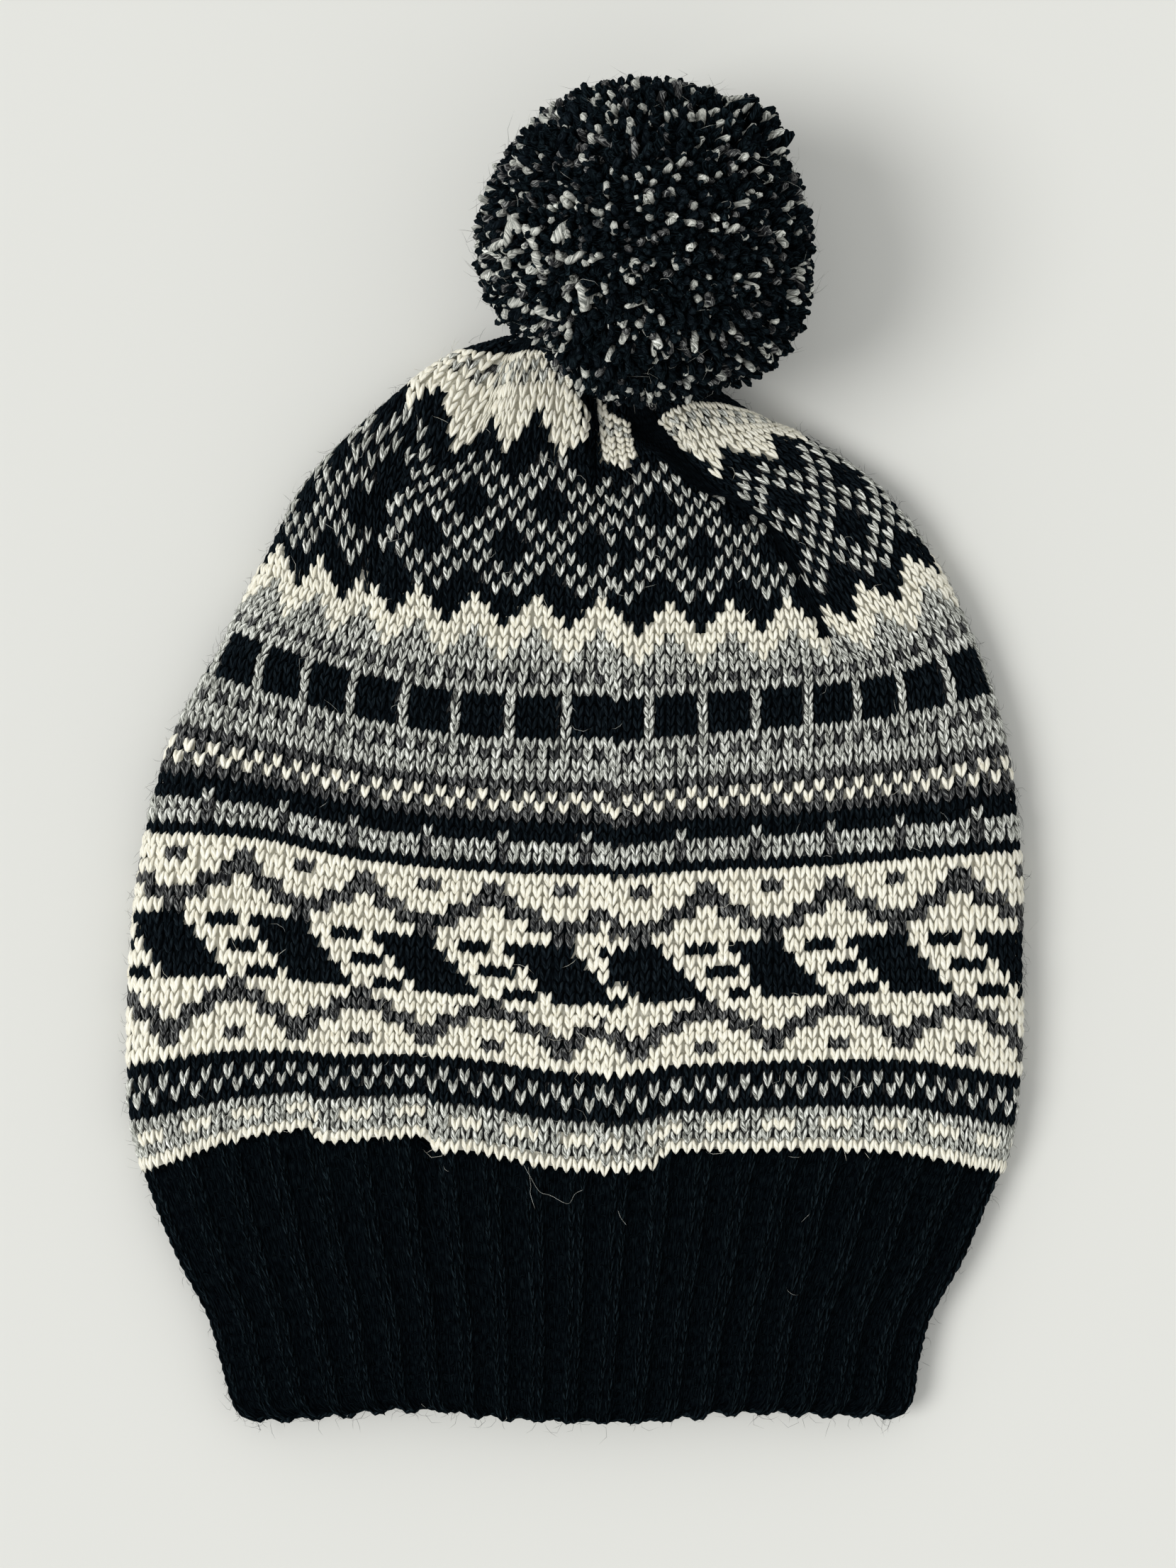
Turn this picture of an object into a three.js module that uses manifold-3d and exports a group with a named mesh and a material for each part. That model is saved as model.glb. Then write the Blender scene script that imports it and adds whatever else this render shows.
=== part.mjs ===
// Knitted wool hat lying on its back: crown gathered at the top, ribbed band, pompom. Sizes in mm.
// +X is to the right of the hat as it lies, +Y runs from the band to the pompom, +Z is up.
import * as THREE from "three";
import { mergeVertices } from "three/addons/utils/BufferGeometryUtils.js";
import Module from "manifold-3d";

// Knit thickness and the gap kept between pieces
const wall = 3;
const gap = 0.3;

// Roundness of the lying cross-section
const domePower = 3.2;
const droopPower = 2.2;
const sideReach = 14;

// Steps round each ring and along each piece
const fineSteps = 360;
const crownSteps = 72;
const crownRings = 20;
const bandRings = 6;

// Crown sections from the band to the gathered top, each one course of knitting.
// sideLeft, sideRight and middle are y along the course; left and right are x of the two side folds;
// height is the top of the front; fold is the middle height of the side folds.
const crownSections = [
  { sideLeft: -108, sideRight: -108, middle: -105.5, left: -115, right: 114, height: 20, fold: 7 },
  { sideLeft: -93, sideRight: -95, middle: -92, left: -118.4, right: 117, height: 25, fold: 8 },
  { sideLeft: -78, sideRight: -79, middle: -79.5, left: -119, right: 118.6, height: 27, fold: 8 },
  { sideLeft: -50, sideRight: -53, middle: -56.5, left: -118, right: 119, height: 29, fold: 8 },
  { sideLeft: -20.5, sideRight: -25.5, middle: -31, left: -114.5, right: 118.6, height: 30, fold: 8 },
  { sideLeft: 5.5, sideRight: 0, middle: -10.5, left: -107.5, right: 115.6, height: 30, fold: 8 },
  { sideLeft: 30, sideRight: 25.5, middle: 11.5, left: -95, right: 109, height: 29, fold: 8 },
  { sideLeft: 50, sideRight: 49.5, middle: 34, left: -84.5, right: 97.7, height: 28, fold: 8 },
  { sideLeft: 77, sideRight: 74, middle: 61, left: -69.5, right: 81.5, height: 25, fold: 8 },
  { sideLeft: 100, sideRight: 87.5, middle: 82, left: -46, right: 66, height: 22, fold: 7 },
  { sideLeft: 109, sideRight: 95, middle: 98, left: -32, right: 50, height: 18, fold: 7 },
  { sideLeft: 112, sideRight: 101, middle: 106, left: -20, right: 36, height: 13, fold: 6 },
];
const crownTip = { x: 9, y: 109, z: 6.5 };

// Gathers in the front of the crown: across runs from -1 at the left fold to 1 at the right fold,
// from its place where the gather starts to its place at the top; start is the section it starts from.
const gathers = [
  { acrossLow: -0.66, acrossTop: -0.74, width: 0.1, depth: 5, start: 6.4 },
  { acrossLow: 0.06, acrossTop: 0.0, width: 0.1, depth: 6, start: 8.4 },
  { acrossLow: 0.66, acrossTop: 0.3, width: 0.11, depth: 6, start: 6.6 },
];

// Band sections from the crown down to the hem
const bandSections = [
  { sideLeft: -108, sideRight: -108, middle: -105.5, left: -115, right: 114, height: 20, fold: 7 },
  { sideLeft: -119.5, sideRight: -121.5, middle: -120, left: -110, right: 107.5, height: 18, fold: 7 },
  { sideLeft: -134, sideRight: -135, middle: -134.5, left: -104.5, right: 100.5, height: 17, fold: 7 },
  { sideLeft: -148, sideRight: -148, middle: -148, left: -99.5, right: 94.2, height: 16.5, fold: 7 },
  { sideLeft: -161, sideRight: -161, middle: -161, left: -95.2, right: 91, height: 16, fold: 7 },
  { sideLeft: -175, sideRight: -175, middle: -175, left: -90, right: 88, height: 15.5, fold: 7 },
];
const ribCount = 41;
const ribSteps = 4;
const ribRelief = 0.7;

// Pompom, flattened where it rests
const pompom = { x: 17.2, y: 133.2, z: 42.5, radiusX: 44.5, radiusY: 42, radiusZ: 43.5, lump: 0.02 };
const pompomSteps = 44;

// Colour, roughness and metalness
const patternWool = new THREE.MeshStandardMaterial({ color: 0x8d8c86, roughness: 0.95, metalness: 0 });
const blackWool = new THREE.MeshStandardMaterial({ color: 0x0d1115, roughness: 0.95, metalness: 0 });
const pompomWool = new THREE.MeshStandardMaterial({ color: 0x1d2022, roughness: 1, metalness: 0 });

function curve(before, from, to, after, t) {
  const slopeFrom = (to - before) / 2;
  const slopeTo = (after - from) / 2;
  const cube = 2 * from - 2 * to + slopeFrom + slopeTo;
  const square = -3 * from + 3 * to - 2 * slopeFrom - slopeTo;
  return ((cube * t + square) * t + slopeFrom) * t + from;
}

// One section at a fractional place in a table
function sectionAt(table, place) {
  const last = table.length - 1;
  const index = Math.min(Math.floor(place), last - 1);
  const section = { place };
  for (const key of Object.keys(table[0])) {
    const values = [index - 1, index, index + 1, index + 2].map((i) => table[Math.min(Math.max(i, 0), last)][key]);
    section[key] = curve(...values, place - index);
  }
  return section;
}

function gatherDepth(across, place) {
  const last = crownSections.length - 1;
  let depth = 0;
  for (const gather of gathers) {
    const along = Math.min(Math.max((place - gather.start) / (last - gather.start), 0), 1);
    const centre = gather.acrossLow + (gather.acrossTop - gather.acrossLow) * along;
    const rise = Math.sin(Math.min(along * 2, 1) * Math.PI / 2) * (1 - 0.5 * along * along);
    const offset = (across - centre) / gather.width;
    depth += gather.depth * rise * Math.exp(-offset * offset);
  }
  return depth;
}

// A point of the closed outline of a lying section, moved in by an inset
function outlinePoint(section, angle, inset, gathered) {
  const across = Math.cos(angle);
  const reach = Math.abs(across);
  const left = section.left + inset;
  const right = section.right - inset;
  const half = (right - left) / 2;
  const side = across < 0 ? section.sideLeft : section.sideRight;
  const y = section.middle + (side - section.middle) * Math.pow(reach, droopPower);
  let z;
  if (Math.sin(angle) > 0) {
    const rise = section.height - inset - section.fold;
    const dip = gathered ? gatherDepth(across, section.place) : 0;
    const dome = Math.sqrt(Math.max(1 - Math.pow(reach, domePower), 0));
    z = section.fold + (rise - dip) * dome;
  } else {
    const flatEnd = Math.max(1 - sideReach / half, 0.4);
    const turn = Math.min(Math.max((reach - flatEnd) / (1 - flatEnd), 0), 1);
    z = inset + (section.fold - inset) * (1 - Math.sqrt(1 - turn * turn));
  }
  return new THREE.Vector3((left + right) / 2 + across * half, y, z);
}

// An evenly stepped ring from the middle of the underside, round by the right side fold
function ring(section, steps, inset, gathered) {
  const fine = [];
  for (let i = 0; i <= fineSteps; i += 1) {
    fine.push(outlinePoint(section, -Math.PI / 2 + (2 * Math.PI * i) / fineSteps, inset, gathered));
  }
  const length = [0];
  for (let i = 1; i <= fineSteps; i += 1) {
    length.push(length[i - 1] + fine[i].distanceTo(fine[i - 1]));
  }
  const points = [];
  let index = 0;
  for (let step = 0; step < steps; step += 1) {
    const target = (length[fineSteps] * step) / steps;
    while (length[index + 1] < target) {
      index += 1;
    }
    const part = (target - length[index]) / (length[index + 1] - length[index]);
    points.push(fine[index].clone().lerp(fine[index + 1], part));
  }
  return points;
}

// Ribs stand out of a ring: two steps proud, two steps set in
function ribbed(points) {
  const count = points.length;
  return points.map((point, i) => {
    const before = points[(i + count - 1) % count];
    const after = points[(i + 1) % count];
    const outX = after.z - before.z;
    const outZ = before.x - after.x;
    const size = Math.hypot(outX, outZ);
    const depth = i % ribSteps < ribSteps / 2 ? 0 : -2 * ribRelief;
    return new THREE.Vector3(point.x + (depth * outX) / size, point.y, point.z + (depth * outZ) / size);
  });
}

// Closed skin over a row of rings; each end is a single point, or the row is a loop
function skin(rings, startPoint, endPoint) {
  const steps = rings[0].length;
  const positions = [];
  const faces = [];
  for (const points of rings) {
    for (const point of points) {
      positions.push(point.x, point.y, point.z);
    }
  }
  const joins = startPoint ? rings.length - 1 : rings.length;
  for (let r = 0; r < joins; r += 1) {
    const next = (r + 1) % rings.length;
    for (let i = 0; i < steps; i += 1) {
      const j = (i + 1) % steps;
      const a = r * steps + i;
      const b = r * steps + j;
      const c = next * steps + j;
      const d = next * steps + i;
      faces.push(a, c, b, a, d, c);
    }
  }
  if (startPoint) {
    const start = positions.length / 3;
    positions.push(startPoint.x, startPoint.y, startPoint.z);
    const end = start + 1;
    positions.push(endPoint.x, endPoint.y, endPoint.z);
    const lastRing = (rings.length - 1) * steps;
    for (let i = 0; i < steps; i += 1) {
      const j = (i + 1) % steps;
      faces.push(start, i, j);
      faces.push(end, lastRing + j, lastRing + i);
    }
  }
  const geometry = new THREE.BufferGeometry();
  geometry.setAttribute("position", new THREE.Float32BufferAttribute(positions, 3));
  geometry.setIndex(faces);
  return geometry;
}

function moved(points, y) {
  return points.map((point) => new THREE.Vector3(point.x, point.y + y, point.z));
}

function middleOf(points) {
  const centre = new THREE.Vector3();
  for (const point of points) {
    centre.add(point);
  }
  return centre.divideScalar(points.length);
}

// Crown: a hollow shell, open towards the band, closed at the gather
function crownGeometry() {
  const last = crownSections.length - 1;
  const outer = [];
  const inner = [];
  for (let r = 0; r < crownRings; r += 1) {
    const place = (last * r) / (crownRings - 1);
    const section = sectionAt(crownSections, place);
    outer.push(ring(section, crownSteps, 0, true));
    inner.push(moved(ring(section, crownSteps, wall, true), r > 0 ? -wall * (r / (crownRings - 1)) : 0));
  }
  outer[0] = moved(outer[0], gap / 2);
  inner[0] = moved(inner[0], gap / 2);
  const tip = new THREE.Vector3(crownTip.x, crownTip.y, crownTip.z);
  const innerTip = new THREE.Vector3(crownTip.x, crownTip.y - wall, crownTip.z);
  return skin([...inner.reverse(), ...outer], innerTip, tip);
}

// Solid filling the crown's outside, grown by the gap, used to seat the pompom
function crownSeat() {
  const last = crownSections.length - 1;
  const rings = [];
  for (let place = last - 4; place <= last; place += 0.5) {
    rings.push(moved(ring(sectionAt(crownSections, place), crownSteps, -gap, true), gap));
  }
  const tip = new THREE.Vector3(crownTip.x, crownTip.y + 2 * gap, crownTip.z);
  return skin(rings, middleOf(rings[0]), tip);
}

// Band: an open ribbed tube from the crown to the hem
function bandGeometry() {
  const last = bandSections.length - 1;
  const steps = ribCount * ribSteps;
  const outer = [];
  const inner = [];
  for (let r = 0; r < bandRings; r += 1) {
    const section = sectionAt(bandSections, (last * (bandRings - 1 - r)) / (bandRings - 1));
    const shift = r === bandRings - 1 ? -gap / 2 : 0;
    outer.push(moved(ribbed(ring(section, steps, 0, false)), shift));
    inner.push(moved(ring(section, steps, wall + ribRelief, false), shift));
  }
  return skin([...inner.reverse(), ...outer]);
}

// Pompom: a lumpy ball, flat where it rests, hollowed where the crown pushes in
function pompomGeometry(wasm) {
  const ball = new THREE.SphereGeometry(1, pompomSteps, pompomSteps * 0.65);
  ball.deleteAttribute("normal");
  ball.deleteAttribute("uv");
  const geometry = mergeVertices(ball, 1e-4);
  const position = geometry.getAttribute("position");
  for (let i = 0; i < position.count; i += 1) {
    const x = position.getX(i);
    const y = position.getY(i);
    const z = position.getZ(i);
    const swell = Math.sin(3.1 * x + 1.2) * Math.sin(2.7 * y + 0.4) + Math.sin(3.7 * z + 2 * x) * 0.6;
    const grow = 1 + pompom.lump * (swell - 1);
    position.setXYZ(
      i,
      pompom.x + x * pompom.radiusX * grow,
      pompom.y + y * pompom.radiusY * grow,
      Math.max(pompom.z + z * pompom.radiusZ * grow, 0),
    );
  }
  const cut = solid(wasm, geometry).subtract(solid(wasm, crownSeat()));
  return fromSolid(cut);
}

function solid(wasm, geometry) {
  const mesh = new wasm.Mesh({
    numProp: 3,
    vertProperties: new Float32Array(geometry.getAttribute("position").array),
    triVerts: new Uint32Array(geometry.getIndex().array),
  });
  return new wasm.Manifold(mesh);
}

function fromSolid(manifold) {
  const mesh = manifold.getMesh();
  const geometry = new THREE.BufferGeometry();
  geometry.setAttribute("position", new THREE.Float32BufferAttribute(mesh.vertProperties, 3));
  geometry.setIndex(Array.from(mesh.triVerts));
  return geometry;
}

function named(name, geometry, material) {
  geometry.computeVertexNormals();
  const mesh = new THREE.Mesh(geometry, material);
  mesh.name = name;
  return mesh;
}

const wasm = await Module();
wasm.setup();

const hat = new THREE.Group();
hat.name = "wool_hat";
hat.add(named("crown", crownGeometry(), patternWool));
hat.add(named("band", bandGeometry(), blackWool));
hat.add(named("pompom", pompomGeometry(wasm), pompomWool));

export default hat;
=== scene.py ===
import bpy
import math
import numpy as np
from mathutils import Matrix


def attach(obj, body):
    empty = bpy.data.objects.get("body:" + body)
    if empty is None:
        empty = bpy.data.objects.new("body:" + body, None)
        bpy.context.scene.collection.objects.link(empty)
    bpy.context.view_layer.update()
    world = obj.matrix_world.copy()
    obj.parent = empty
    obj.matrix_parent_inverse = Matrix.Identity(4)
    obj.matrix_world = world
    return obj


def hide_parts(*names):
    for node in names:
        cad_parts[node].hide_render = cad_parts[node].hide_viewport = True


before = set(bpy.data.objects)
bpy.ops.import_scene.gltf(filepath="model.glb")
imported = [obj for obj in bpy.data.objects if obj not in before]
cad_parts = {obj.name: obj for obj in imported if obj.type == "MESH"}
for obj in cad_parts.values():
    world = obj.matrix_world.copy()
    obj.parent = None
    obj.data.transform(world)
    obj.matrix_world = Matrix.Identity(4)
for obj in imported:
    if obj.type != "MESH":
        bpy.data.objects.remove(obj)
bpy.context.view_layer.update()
mm = 0.001
dice = np.random.default_rng(41)

# The photo's frame: pixels up, size of one pixel on the floor, and the point under the lens
photo = dict(high=2212, pixelMm=0.19, lensHeightMm=900, overXMm=3.5, overYMm=-5.9)

# Crown courses, from the band up to the gather, in mm as the hat lies.
# row counts stitches up from the band; left and right are the side folds; height is the top of the front;
# fold is the middle of the side folds; seam is where the sewn seam runs;
# stitchLeft and stitchRight say which stitch from the seam lies on each side fold.
crownSections = [
    dict(row=0, left=-115, right=114, height=20, fold=7, seam=6.6, stitchLeft=45, stitchRight=39.5),
    dict(row=4.5, left=-118.4, right=117, height=25, fold=8, seam=7, stitchLeft=45, stitchRight=39.5),
    dict(row=8.5, left=-119, right=118.6, height=27, fold=8, seam=7.5, stitchLeft=45, stitchRight=39.5),
    dict(row=16.5, left=-118, right=119, height=29, fold=8, seam=8.2, stitchLeft=45, stitchRight=39.5),
    dict(row=24.5, left=-114.5, right=118.6, height=30, fold=8, seam=8.8, stitchLeft=44, stitchRight=39.5),
    dict(row=32.5, left=-107.5, right=115.6, height=30, fold=8, seam=9.5, stitchLeft=42, stitchRight=39),
    dict(row=40, left=-95, right=109, height=29, fold=8, seam=9.7, stitchLeft=40.5, stitchRight=39),
    dict(row=48, left=-84.5, right=97.7, height=28, fold=8, seam=9.9, stitchLeft=41, stitchRight=40),
    dict(row=57.5, left=-69.5, right=81.5, height=25, fold=8, seam=10.3, stitchLeft=35.5, stitchRight=40),
    dict(row=64.5, left=-46, right=62, height=22, fold=7, seam=9.3, stitchLeft=27, stitchRight=40),
    dict(row=71.5, left=-32, right=50, height=18, fold=7, seam=7.6, stitchLeft=23, stitchRight=40),
    dict(row=78, left=-20, right=36, height=13, fold=6, seam=9, stitchLeft=22, stitchRight=40),
]
crownTip = (9, 109, 6.5)

# How each course droops over the front: y in mm at even steps from the left side fold to the right
courseLines = [
    (-109, -99.9, -99.3, -101.2, -107, -103.6, -102.3, -103.2, -109.2),
    (-94, -87.5, -86.5, -87.6, -92.7, -90.7, -89.3, -89.7, -95.4),
    (-78.5, -74.3, -75, -75.8, -79.7, -77.7, -76.6, -77, -81.8),
    (-48.5, -48, -51, -54, -56, -55, -54, -53, -54),
    (-20.5, -21.5, -27, -30, -31, -30, -29, -27, -25.5),
    (5.5, 0.5, -5.5, -8.5, -9.5, -8, -6.5, -4, 0),
    (29.5, 21, 14.5, 11.5, 11.5, 12.5, 14.5, 17.5, 24.5),
    (50, 42.5, 37, 35, 34, 33.5, 34, 37, 50),
    (77, 71, 63.5, 61.5, 60.7, 60.3, 60.5, 64, 72.5),
    (99.5, 84, 83, 82.1, 78, 79.8, 75, 79.2, 86.4),
    (109, 107, 107, 106.5, 92.5, 88.5, 93.3, 93.5, 91.5),
    (113, 114, 115, 114, 108, 104, 103, 102, 101),
]

# Band courses, down to the hem
bandSections = [
    dict(row=-22, left=-86, right=85.5, height=14.5, fold=6.5, seam=3, stitchLeft=43, stitchRight=39.5),
    dict(row=-21.3, left=-89.6, right=88.8, height=15.3, fold=7, seam=3, stitchLeft=43, stitchRight=39.5),
    dict(row=-20, left=-91.9, right=91, height=16, fold=7, seam=3.3, stitchLeft=43, stitchRight=39.5),
    dict(row=-17, left=-94.5, right=92.4, height=16, fold=7, seam=4, stitchLeft=43, stitchRight=39.5),
    dict(row=-12.5, left=-98.3, right=95.7, height=16.5, fold=7, seam=5, stitchLeft=43, stitchRight=39.5),
    dict(row=-8.5, left=-105.2, right=103.2, height=17, fold=7, seam=5.6, stitchLeft=43, stitchRight=39.5),
    dict(row=-4, left=-110.8, right=109, height=18, fold=7, seam=6, stitchLeft=43, stitchRight=39.5),
    dict(row=0, left=-115, right=114, height=20, fold=7, seam=6.6, stitchLeft=43, stitchRight=39.5),
]
bandLines = [
    (-175.6, -173.4, -171.3, -173.3, -174.4, -174.3, -172.2, -172.9, -174.5),
    (-173.8, -171.5, -169.5, -171.5, -172.6, -172.5, -170.5, -171.1, -172.9),
    (-169.5, -167.4, -165.2, -166.8, -168.4, -168.1, -166, -166.8, -169),
    (-160, -160, -158.5, -158.5, -160, -159, -158.5, -159.5, -160),
    (-147, -146.5, -145, -145.5, -147.5, -146, -145.5, -146.5, -147.5),
    (-134, -131, -129.5, -131, -133.5, -131, -130, -131, -134.5),
    (-121, -114, -112.5, -115, -119, -115.5, -114.5, -115.5, -121.5),
    courseLines[0],
]

# Where a counted stitch lies in the front at some rows: stitches from the seam, minus to the left, x in mm
waleLines = [
    dict(rows=(-2, 18, 40.5, 48, 57.5, 61.5, 64, 66.5, 71.5, 80),
         stitch=(-35, -35, -34, -37, -31, -29, -26, -22.5, -20.8, -20.5),
         x=(-95, -91.4, -82.4, -78.2, -65.8, -59.6, -52, -41, -30.6, -16)),
    dict(rows=(-2, 18, 40.5, 48, 57.5, 64.5, 71.5, 80), stitch=(-11,) * 8,
         x=(-25.3, -26.1, -22.5, -20.9, -19.3, -17.8, -14.1, -5)),
    dict(rows=(-2, 18, 40.5, 48, 57.5, 61, 63), stitch=(8.5, 8.5, 8.5, 8.5, 7.5, 5.5, 4.5),
         x=(32.5, 33, 33.5, 32.9, 30.9, 24.9, 20.9)),
    dict(rows=(-2, 18, 40.5, 48, 57.5, 64.5, 71.5, 80), stitch=(31.5,) * 8,
         x=(101, 96.8, 92.7, 83.5, 67.5, 52.2, 37, 24)),
]

# Pleats drawn in by the gather. low and high are the edges in x of what is folded away, stitchLow and
# stitchHigh the stitches at those edges, deep the depth of the dip. soft is the side that slopes into it,
# minus for the left, while the other side lies over it. step is how far the courses on the left stand above
# those on the right. dark is how many stitches past its edges a pleat's shade is painted black, none where 0.
pleats = [
    dict(rows=(-2, 18, 40.5, 48, 57.5, 61.5, 63.5, 66.5, 71.5, 80), dark=(0.01,) * 10,
         low=(-61.5, -60.6, -59.2, -55.3, -52.6, -46.8, -42.6, -37.6, -27.5, -14.5),
         high=(-58.6, -57.8, -56.7, -53.2, -48.6, -44.8, -41, -36.2, -26.4, -13.8),
         stitchLow=(-23.5, -23.5, -24.5, -25.5, -24.3, -22.8, -22.3, -20.9, -19.6, -19.5),
         stitchHigh=(-22.5, -22.5, -23.5, -24.5, -22, -21.4, -21.2, -20.3, -19.1, -19.1),
         deep=(0, 0, 0, 2.5, 7, 5.5, 3, 0, 0, 0), soft=(-1,) * 10, step=(0, 0, 0, 0, 1.5, 4, 3, 0, 0, 0)),
    dict(rows=(-2, 18, 40.5, 48, 57.5, 64.5, 68, 71.5, 80), dark=(0,) * 9,
         low=(-44.1, -44, -40.3, -36.6, -37.2, -27, -23, -19, -8.5),
         high=(-41.2, -41.3, -37.6, -34.2, -34.7, -25, -20.8, -17, -7.5),
         stitchLow=(-17.5, -17.5, -17.5, -17.5, -17.5, -15.3, -16.5, -17.5, -18),
         stitchHigh=(-16.5, -16.5, -16.5, -16.5, -16.5, -14.3, -14.5, -14.5, -14.5),
         deep=(0, 0, 0, 0, 0, 1.5, 4, 5, 3), soft=(-1,) * 9, step=(0,) * 9),
    dict(rows=(57.5, 64.5, 68, 71.5, 80), dark=(0, 0, 0.01, 0.01, 0.01),
         low=(4.4, 4.2, 3.5, 2.4, 2), high=(7.6, 7.6, 6.9, 6, 6),
         stitchLow=(-2.2, -2.1, -2.9, -3.6, -4), stitchHigh=(-1, -0.6, -0.6, -0.6, -0.6),
         deep=(0, 3, 6, 7, 4), soft=(1,) * 5, step=(0,) * 5),
    dict(rows=(-2, 18, 40.5, 44, 48, 52, 57.5, 60, 61.5, 62.6, 63.4, 64.5, 66.5, 71.5, 80),
         dark=(0.01,) * 10 + (0.2, 2.2, 0.3, 0.3, 0.3),
         low=(64.5, 62.9, 67.6, 69.3, 64.3, 58.8, 50.5, 44.3, 40.2, 33, 27, 22.6, 17, 15, 11),
         high=(67.5, 65.5, 70.1, 71.3, 66.5, 61, 52.6, 46.6, 42.6, 39, 36.6, 33.8, 28.8, 22.4, 15),
         stitchLow=(19, 19, 21, 21.6, 20.3, 19.2, 16, 13.4, 12, 9.1, 6.9, 5.5, 3.5, 3, 3),
         stitchHigh=(20, 20, 22, 22.8, 23.3, 24.4, 25.2, 25, 24.6, 24.2, 24, 24, 24, 24, 24),
         deep=(0, 0, 0, 1, 3.5, 4.5, 5, 5, 5, 5.5, 6, 6, 7, 8, 5),
         soft=(1,) * 7 + (0, -0.5, -0.8) + (-1,) * 5, step=(0,) * 15),
]
# A dip's soft and sharp slopes, its widest floor, the step of the courses and how far it reaches, the depth
# from which a pleat's shade is painted black, and how many rows further up its edge is read
pleatSide = dict(softMm=6.5, sharpMm=1.4, dipMm=2.2, stepMm=2, stepReach=12, darkMm=2.8, darkRows=0.4)

# Puckers where the wide crown is drawn into the band: place in x, drop of the courses across it, the width
# of that step, how far it reaches, depth, and the side that slopes into it
puckers = [
    dict(x=-68.8, drop=2.5, edge=0.5, reach=15, deep=2.6, soft=1),
    dict(x=-38.3, drop=2.5, edge=0.5, reach=15, deep=2.6, soft=1),
    dict(x=22.6, drop=-2.6, edge=2.2, reach=9, deep=2.6, soft=-1),
]
puckerFade = dict(rows=(-8, -1, 1, 4, 9), share=(0, 1, 0.95, 0.5, 0), softMm=4, sharpMm=0.8)
# The lying tube: how full its front is, how far the side folds reach in under it, the least flat share of
# the underside and its height, how the back's courses droop, the grid's steps in rows and stitches, and the
# ground cloth's thickness, how close its joined points lie, and its streaks' length for one stitch
shell = dict(domePower=3.2, sideReach=14, lowestFlat=0.4, underMm=0.45, backDroop=0.7, bandBackMm=0.8,
             acrossSteps=480, rowStep=0.5, colStep=0.25, groundMm=1.4, joinMm=0.001, stitchMm=3)
tiny = 1e-15

print("hat: frame loaded")


def unit(vectors):
    return vectors / np.maximum(np.linalg.norm(vectors, axis=-1, keepdims=True), tiny)


def evenSteps(first, last, step):
    # the last one is among them
    return np.arange(first, last + step / 2, step)


def throughRows(knots, values, at):
    # smooth curve through table rows at uneven steps
    knots = np.asarray(knots, float)
    values = np.asarray(values, float)
    at = np.asarray(at, float)
    spread = (-1,) + (1,) * (values.ndim - 1)
    slopes = np.empty_like(values)
    slopes[1:-1] = (values[2:] - values[:-2]) / (knots[2:] - knots[:-2]).reshape(spread)
    slopes[0] = (values[1] - values[0]) / (knots[1] - knots[0])
    slopes[-1] = (values[-1] - values[-2]) / (knots[-1] - knots[-2])
    low = np.clip(np.searchsorted(knots, at, "right") - 1, 0, len(knots) - 2)
    span = knots[low + 1] - knots[low]
    t = ((at - knots[low]) / span).reshape(spread)
    span = span.reshape(spread)
    a, b = values[low], values[low + 1]
    sa, sb = slopes[low] * span, slopes[low + 1] * span
    return a + t * (sa + t * (3 * (b - a) - 2 * sa - sb + t * (2 * (a - b) + sa + sb)))


def slope(x, low, high, soft, softMm, sharpMm):
    # one in the dip, falling off gently on the soft side and quickly on the other
    left = sharpMm + (softMm - sharpMm) * (1 - soft) / 2
    right = sharpMm + (softMm - sharpMm) * (1 + soft) / 2
    away = np.where(x < low, (low - x) / left, np.where(x > high, (x - high) / right, 0))
    return np.exp(-away ** 2)


def foldDepth(x, row):
    # how far pleats and puckers dip below the smooth front
    depth = np.zeros_like(x)
    for pleat in pleats:
        low, high, deep, soft = [np.interp(row, pleat["rows"], pleat[key])
                                 for key in ("low", "high", "deep", "soft")]
        if pleat["rows"][0] <= row <= pleat["rows"][-1]:
            low = max(low, high - pleatSide["dipMm"])
            depth += deep * slope(x, low, high, soft, pleatSide["softMm"], pleatSide["sharpMm"])
    share = np.interp(row, puckerFade["rows"], puckerFade["share"])
    for tuck in puckers:
        depth += share * tuck["deep"] * slope(x, tuck["x"], tuck["x"], tuck["soft"],
                                              puckerFade["softMm"], puckerFade["sharpMm"])
    return depth


def courseDrop(x, row):
    # courses step down or up where a pleat or a pucker crosses them
    share = np.interp(row, puckerFade["rows"], puckerFade["share"])
    drop = np.zeros_like(x)
    for pleat in pleats:
        away = x - np.interp(row, pleat["rows"], pleat["high"])
        step = np.interp(row, pleat["rows"], pleat["step"]) / 2
        drop -= step * np.tanh(away / pleatSide["stepMm"]) * np.exp(-np.abs(away) / pleatSide["stepReach"])
    for tuck in puckers:
        away = x - tuck["x"]
        drop -= share * tuck["drop"] * np.tanh(away / tuck["edge"]) * np.exp(-np.abs(away) / tuck["reach"])
    return drop


def fromSeam(col, around):
    # stitches from the seam, minus to the left
    return np.where(col > around / 2, col - around, col)


def stitchKnots(row, sec, counted):
    # counted stitches with a known place in this row: the side folds, the seam, wale lines and pleat edges
    known = [[-sec["stitchLeft"], sec["left"]], [0, sec["seam"]], [sec["stitchRight"], sec["right"]]]
    if not counted:
        return np.array(known)
    for line in waleLines:
        if line["rows"][0] <= row <= line["rows"][-1]:
            known.append([np.interp(row, line["rows"], line[key]) for key in ("stitch", "x")])
    for pleat in pleats:
        if pleat["rows"][0] <= row <= pleat["rows"][-1]:
            for pair in (("stitchLow", "low"), ("stitchHigh", "high")):
                known.append([np.interp(row, pleat["rows"], pleat[key]) for key in pair])
    return np.array(sorted(known))


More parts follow.
